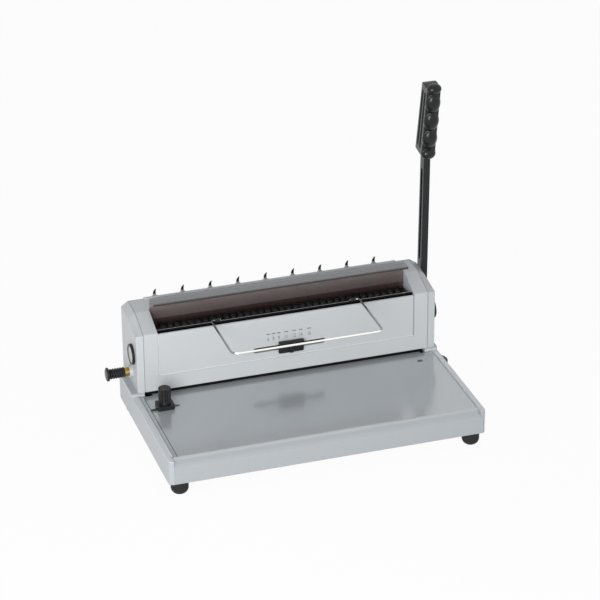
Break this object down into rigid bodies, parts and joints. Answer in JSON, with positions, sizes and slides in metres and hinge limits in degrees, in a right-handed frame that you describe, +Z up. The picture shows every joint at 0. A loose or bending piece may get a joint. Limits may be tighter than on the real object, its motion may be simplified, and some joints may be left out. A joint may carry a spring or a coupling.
{
  "type": "wire binding machine",
  "caption": "Desk-top wire binding machine: lever-driven punch over a sheet table, toothed wire closer with smoked guard, size slider, edge guide and chip tray.",
  "frame": {"origin": "on the desk, under the middle of the machine's whole outline", "axes": "+X to the operator's right, +Y to the rear, +Z up"},
  "size_m": [0.4126, 0.2322, 0.3696],
  "materials": {
    "grey_paint": "satin light grey paint",
    "black_plastic": "fine-grained black moulding",
    "black_paint": "satin black paint",
    "bare_steel": "ground",
    "bright_chrome": "polished",
    "brass": "turned",
    "rubber": "matt",
    "smoked_acrylic": "polished brown-grey clear sheet"
  },
  "bodies": {
    "frame": {"left_side_rail": "grey_paint", "right_side_rail": "grey_paint", "table_plate": "grey_paint", "base_pan": "grey_paint", "rubber_feet": "rubber", "left_frame_plate": "bare_steel", "right_frame_plate": "bare_steel", "die_plate": "bare_steel", "stripper_plate": "bare_steel", "shaft_bushes": "brass", "housing_shell": "grey_paint", "left_side_cap": "grey_paint", "right_side_cap": "grey_paint", "front_panel": "grey_paint", "rear_cover": "grey_paint", "hook_rail": "grey_paint", "wire_hooks": "black_plastic", "anvil_bar": "bright_chrome", "anvil_posts": "bare_steel", "bail_clips": "bright_chrome", "guide_rods": "bare_steel", "channel_deck": "black_paint", "top_deck": "grey_paint", "screw_bracket": "bare_steel", "dial_pin": "bare_steel"},
    "lever": {"main_shaft": "bare_steel", "drive_pinions": "bare_steel", "lever_hub": "black_paint", "shaft_end_cap": "black_plastic", "lever_arm": "black_paint", "lever_bolt": "bright_chrome", "lever_grip": "black_plastic"},
    "punch": {"punch_racks": "bare_steel", "punch_beam": "bare_steel", "punch_pins": "bare_steel"},
    "closer": {"closer_racks": "bare_steel", "closer_bar": "black_paint", "closer_comb": "black_plastic"},
    "size_knob": {"adjuster_knob": "black_plastic", "brass_collar": "brass", "adjuster_screw": "bare_steel"},
    "pointer": {"pointer_nut": "bare_steel", "size_pointer": "black_plastic"},
    "edge_guide": {"edge_guide_block": "black_plastic", "guide_stud": "bare_steel"},
    "clamp_knob": {"guide_knob": "black_plastic"},
    "bail": {"paper_bail": "bright_chrome"},
    "guard": {"smoked_guard": "smoked_acrylic", "guard_pins": "bare_steel"},
    "tray": {"chip_tray": "black_plastic", "tray_pull": "grey_paint"},
    "dial": {"margin_dial": "black_plastic"}
  },
  "joints": [
    {"name": "lever_pull", "type": "hinge", "parent": "frame", "child": "lever", "pos_m": [0.00765, 0.06438, 0.0905], "axis": [1, 0, 0], "range_deg": [0, 95]},
    {"name": "punch_stroke", "type": "slide", "parent": "frame", "child": "punch", "axis": [0, 0, -1], "range_m": [0, 0.00997]},
    {"name": "closer_stroke", "type": "slide", "parent": "frame", "child": "closer", "axis": [0, -1, 0], "range_m": [0, 0.00997]},
    {"name": "size_knob_turn", "type": "hinge", "parent": "frame", "child": "size_knob", "pos_m": [-0.20635, 0.06988, 0.0657], "axis": [1, 0, 0], "range_deg": [-1351, 1351]},
    {"name": "pointer_slide", "type": "slide", "parent": "frame", "child": "pointer", "axis": [1, 0, 0], "range_m": [-0.03, 0.03]},
    {"name": "edge_guide_slide", "type": "slide", "parent": "frame", "child": "edge_guide", "axis": [1, 0, 0], "range_m": [-0.004, 0.015]},
    {"name": "clamp_knob_turn", "type": "hinge", "parent": "edge_guide", "child": "clamp_knob", "pos_m": [-0.15185, 0.01287, 0.043], "axis": [0, 0, 1], "range_deg": [-90, 90]},
    {"name": "bail_fold", "type": "hinge", "parent": "frame", "child": "bail", "pos_m": [0.00765, 0.05412, 0.12305], "axis": [-1, 0, 0], "range_deg": [0, 90]},
    {"name": "guard_flip", "type": "hinge", "parent": "frame", "child": "guard", "pos_m": [0.00765, 0.08277, 0.118], "axis": [-1, 0, 0], "range_deg": [-40, 0]},
    {"name": "chip_tray_slide", "type": "slide", "parent": "frame", "child": "tray", "axis": [1, 0, 0], "range_m": [0, 0.25]},
    {"name": "margin_dial_turn", "type": "hinge", "parent": "frame", "child": "dial", "pos_m": [0.18515, 0.02687, 0.0406], "axis": [0, 0, 1], "range_deg": [-150, 150]}
  ],
  "couplings": [
    {"joint": "punch_stroke", "follows": "lever_pull", "m_per_rad": 0.006},
    {"joint": "closer_stroke", "follows": "lever_pull", "m_per_rad": 0.006},
    {"joint": "size_knob_turn", "follows": "pointer_slide", "rad_per_m": 785.4}
  ]
}
